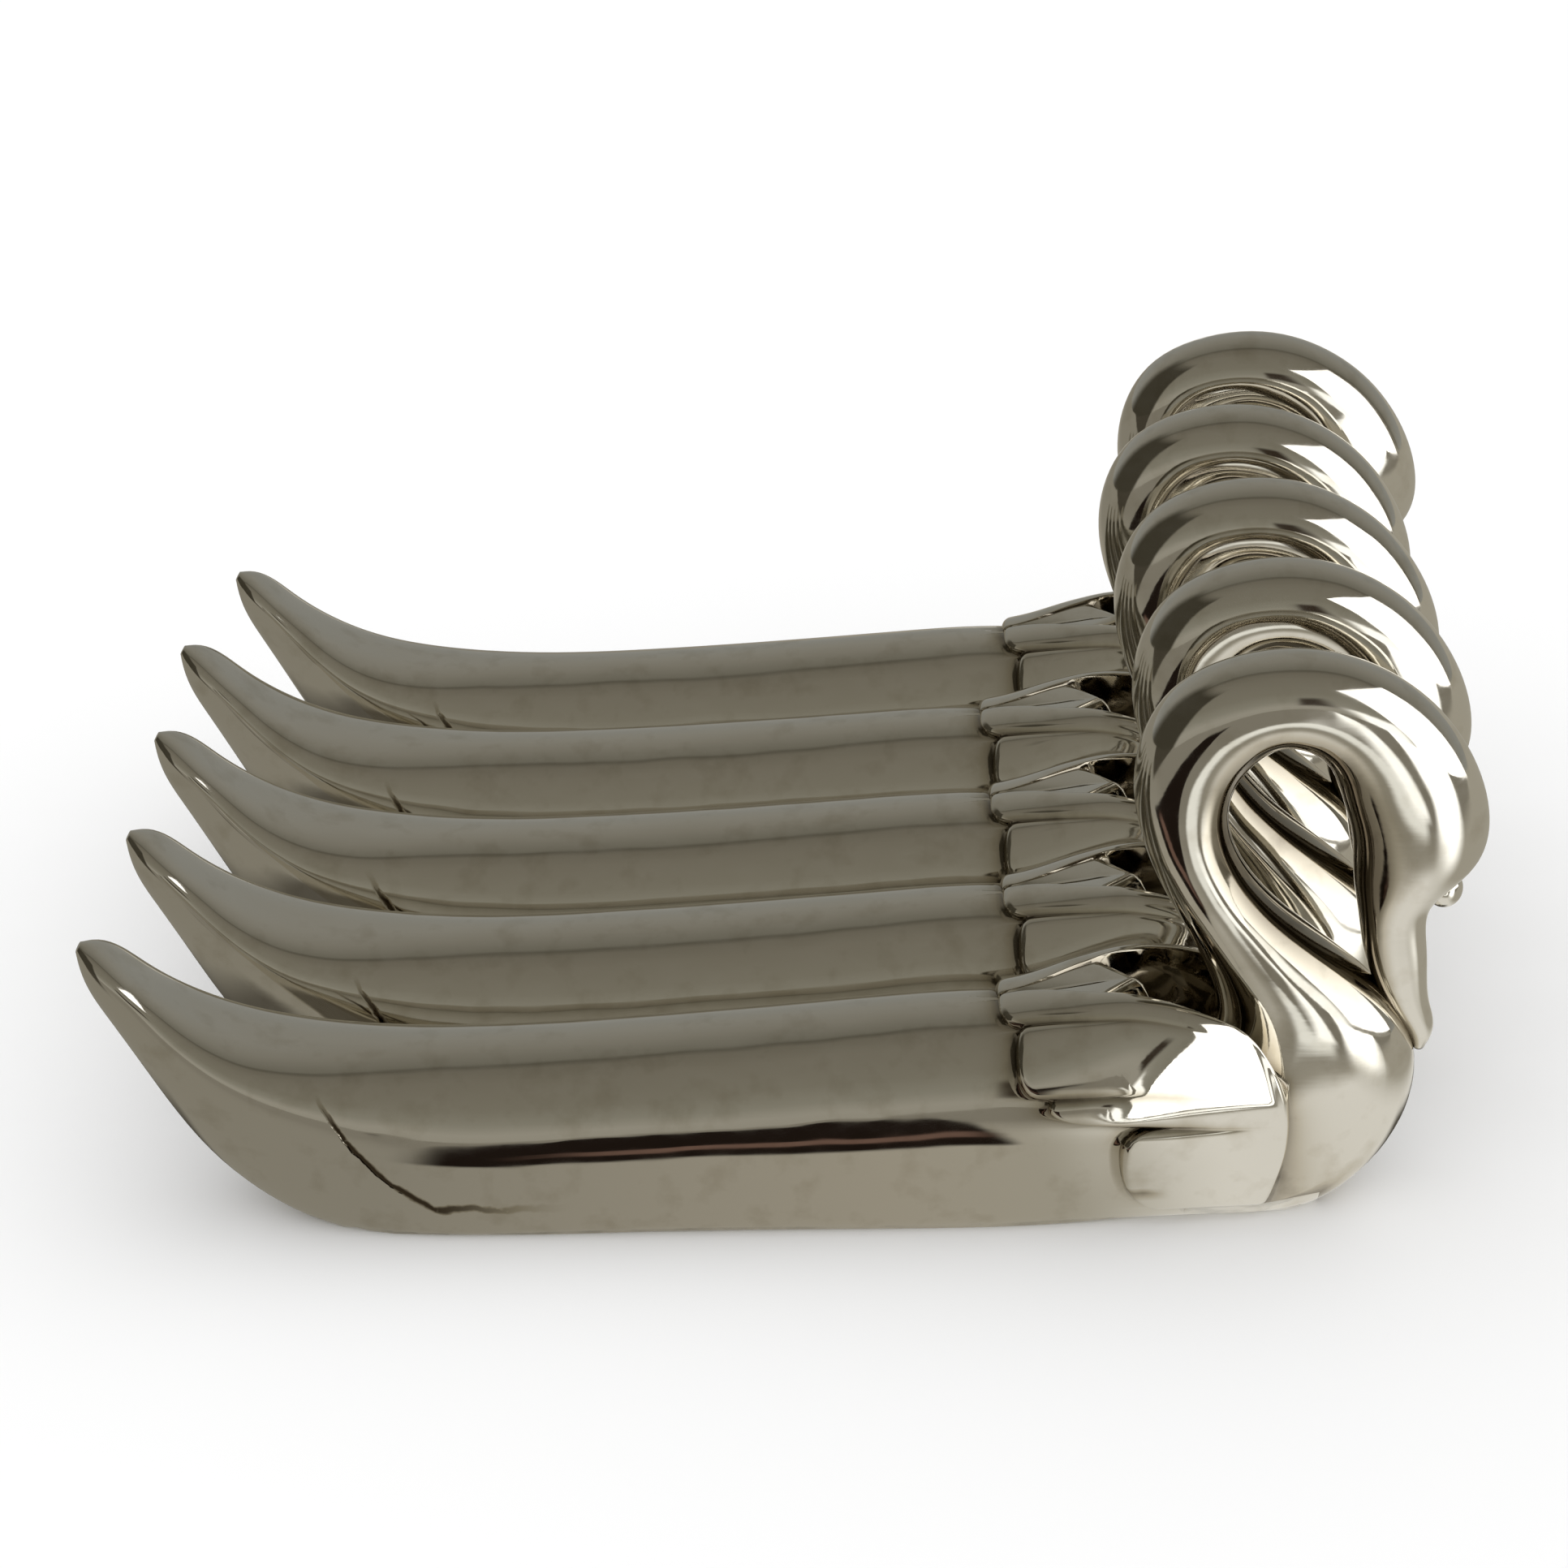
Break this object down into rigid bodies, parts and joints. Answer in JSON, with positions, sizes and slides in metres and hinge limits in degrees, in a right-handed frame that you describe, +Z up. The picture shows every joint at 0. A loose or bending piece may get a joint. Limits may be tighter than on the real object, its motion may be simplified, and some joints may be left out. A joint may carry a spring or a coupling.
{
  "type": "knife rest set",
  "caption": "Polished silver-plated knife rests, each a swan with an arched neck, folded wings and a long low back that a knife lies across, set side by side.",
  "frame": {"origin": "middle of the footprint of the set, on the table", "axes": "+X from the tails to the heads, +Y from the front rest to the back one, +Z up"},
  "size_m": [0.095, 0.0716, 0.0395],
  "materials": {
    "silver_plate": "polished silver plate, slightly warm, with fine wear"
  },
  "bodies": {
    "front_rest": {"front_swan": "silver_plate"},
    "second_rest": {"second_swan": "silver_plate"},
    "middle_rest": {"middle_swan": "silver_plate"},
    "fourth_rest": {"fourth_swan": "silver_plate"},
    "back_rest": {"back_swan": "silver_plate"}
  },
  "joints": [
    {"name": "second_lift", "type": "slide", "parent": "front_rest", "child": "second_rest", "axis": [0, 0, 1], "range_m": [0, 0.06]},
    {"name": "middle_lift", "type": "slide", "parent": "front_rest", "child": "middle_rest", "axis": [0, 0, 1], "range_m": [0, 0.06]},
    {"name": "fourth_lift", "type": "slide", "parent": "front_rest", "child": "fourth_rest", "axis": [0, 0, 1], "range_m": [0, 0.06]},
    {"name": "back_lift", "type": "slide", "parent": "front_rest", "child": "back_rest", "axis": [0, 0, 1], "range_m": [0, 0.06]}
  ]
}
